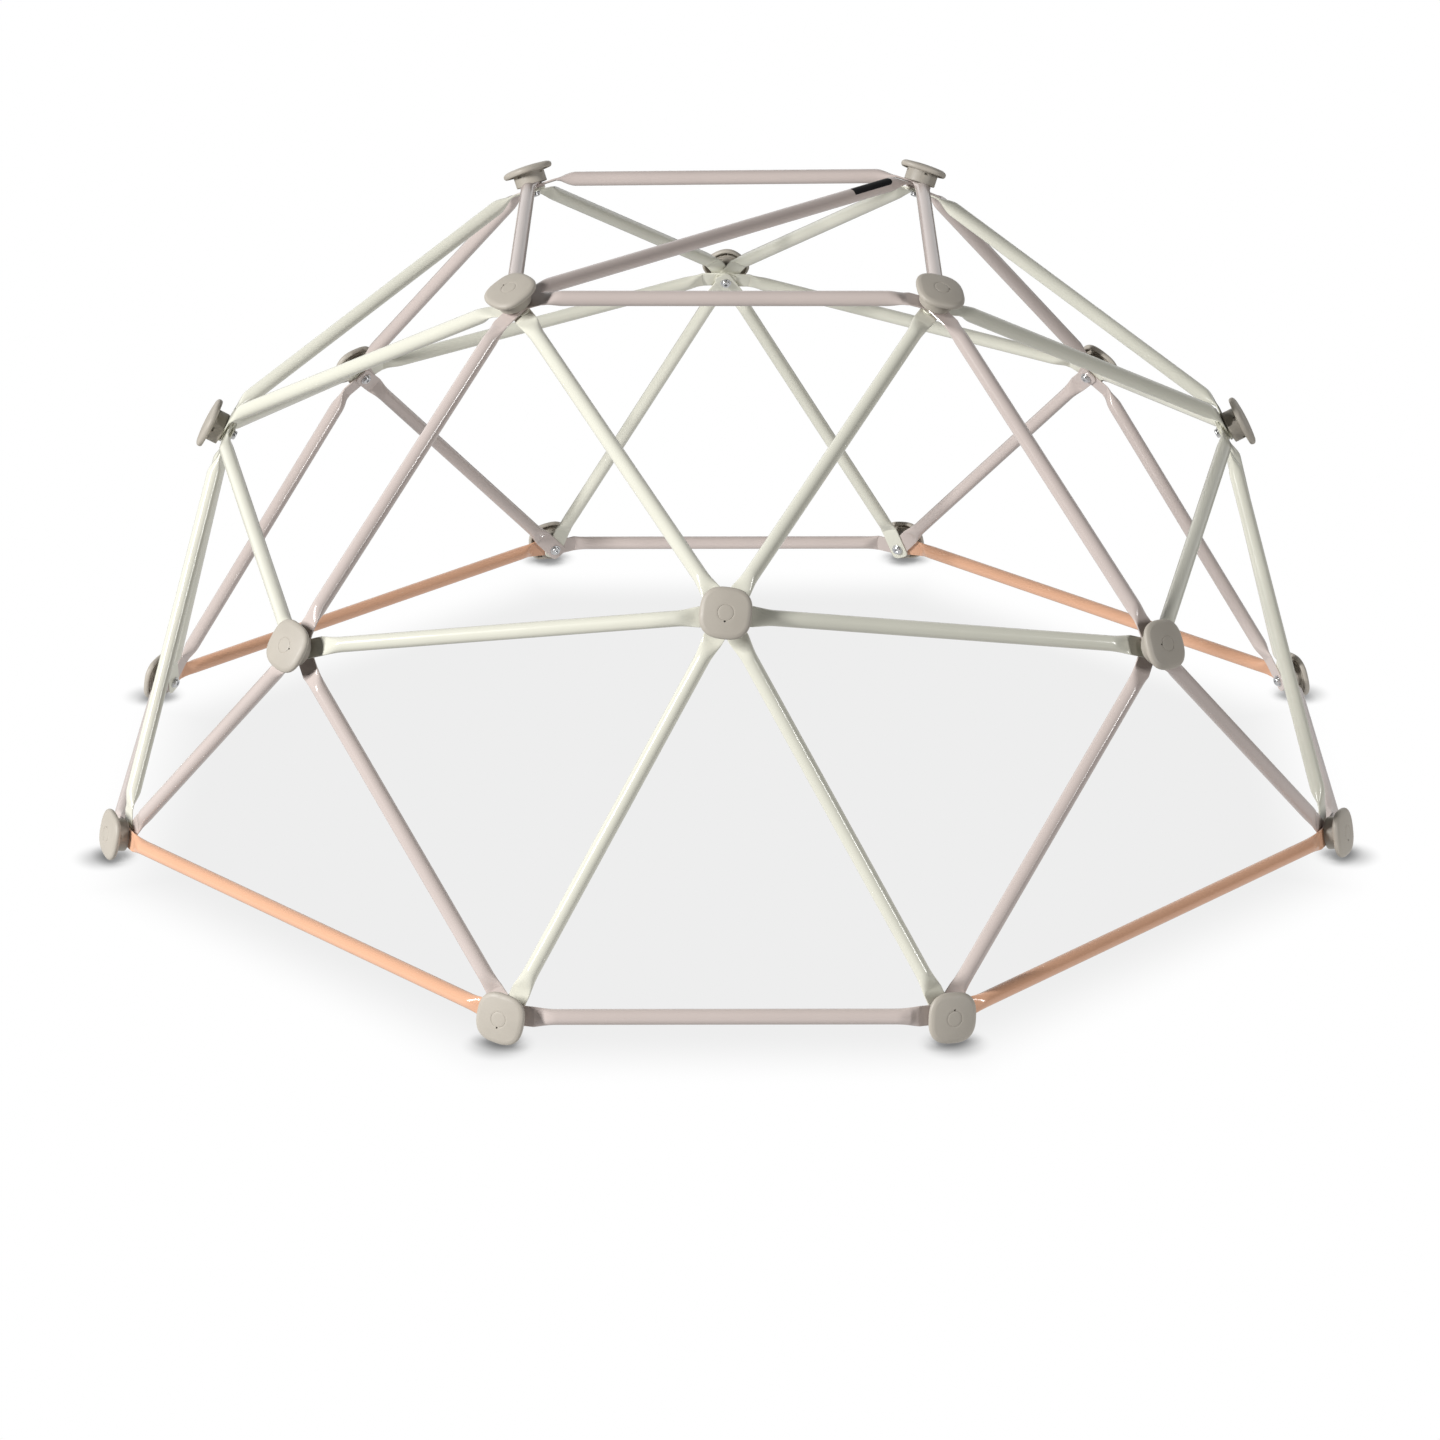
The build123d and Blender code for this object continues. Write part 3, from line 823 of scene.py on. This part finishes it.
def softbox(name, azimuth, elevation, size, power):
    """A rectangular light in this direction from the dome, in degrees."""
    flat = math.cos(math.radians(elevation))
    away = Vector((
        flat * math.cos(math.radians(azimuth)),
        flat * math.sin(math.radians(azimuth)),
        math.sin(math.radians(elevation)),
    ))
    data = bpy.data.lights.new(name, "AREA")
    data.shape = "RECTANGLE"
    data.size, data.size_y = size
    data.energy = power
    lamp = bpy.data.objects.new(name, data)
    bpy.context.scene.collection.objects.link(lamp)
    lamp.location = LIGHT_AIM + away * LIGHT_AWAY
    lamp.rotation_euler = (LIGHT_AIM - lamp.location).to_track_quat("-Z", "Y").to_euler()


# two tall strips: their edges give the crisp shadows beside the caps
softbox("left_softbox", 214.0, 26.0, (0.5, 2.6), 735)
softbox("right_softbox", 322.0, 16.0, (0.5, 2.6), 195)

world = bpy.data.worlds.new("studio_world")
bpy.context.scene.world = world
world.use_nodes = True
sky = world.node_tree

# a white backdrop low down behind the dome; the studio is dim in front and above
toward = sky.nodes.new("ShaderNodeSeparateXYZ")
sky.links.new(sky.nodes.new("ShaderNodeTexCoord").outputs["Generated"], toward.inputs[0])
behind = map_range(sky, toward.outputs["Y"], *BACKDROP_BEHIND, 0.0, BACKDROP_LIGHT, True)
low_down = map_range(sky, toward.outputs["Z"], *BACKDROP_HEIGHT, 1.0, BACKDROP_TOP, True)
lit = maths(sky, "MULTIPLY_ADD", behind, low_down, ROOM_LIGHT)
# seen directly, past the floor's edge, the backdrop is as white as the floor
background = sky.nodes["Background"]
sky.links.new(seen_or_felt(sky, 1.0, lit), background.inputs["Strength"])
background.inputs["Color"].default_value = (1, 1, 1, 1)

# the camera stands in front of the dome and looks a little down
CAMERA_AT = Vector((4.0264, -6599.16, 2900.65)) * MM
YAW, PITCH, ROLL = -0.0021, 0.4028, -0.0024
FOCAL = 3.1978194       # in picture widths
SENSOR = 36.0
camera_data = bpy.data.cameras.new("camera")
camera_data.sensor_width = SENSOR
camera_data.lens = FOCAL * SENSOR
camera_data.clip_end = 100.0
camera = bpy.data.objects.new("camera", camera_data)
bpy.context.scene.collection.objects.link(camera)
level = math.cos(PITCH)
forward = Vector((math.sin(YAW) * level, math.cos(YAW) * level, -math.sin(PITCH)))
right = forward.cross(Vector((0, 0, 1))).normalized()
up = right.cross(forward)
tilted = right * math.cos(ROLL) + up * math.sin(ROLL)
upright = up * math.cos(ROLL) - right * math.sin(ROLL)
facing = Matrix((tilted, upright, -forward)).transposed().to_4x4()
camera.matrix_world = Matrix.Translation(CAMERA_AT) @ facing
bpy.context.scene.camera = camera

bpy.context.scene.view_settings.view_transform = "Standard"
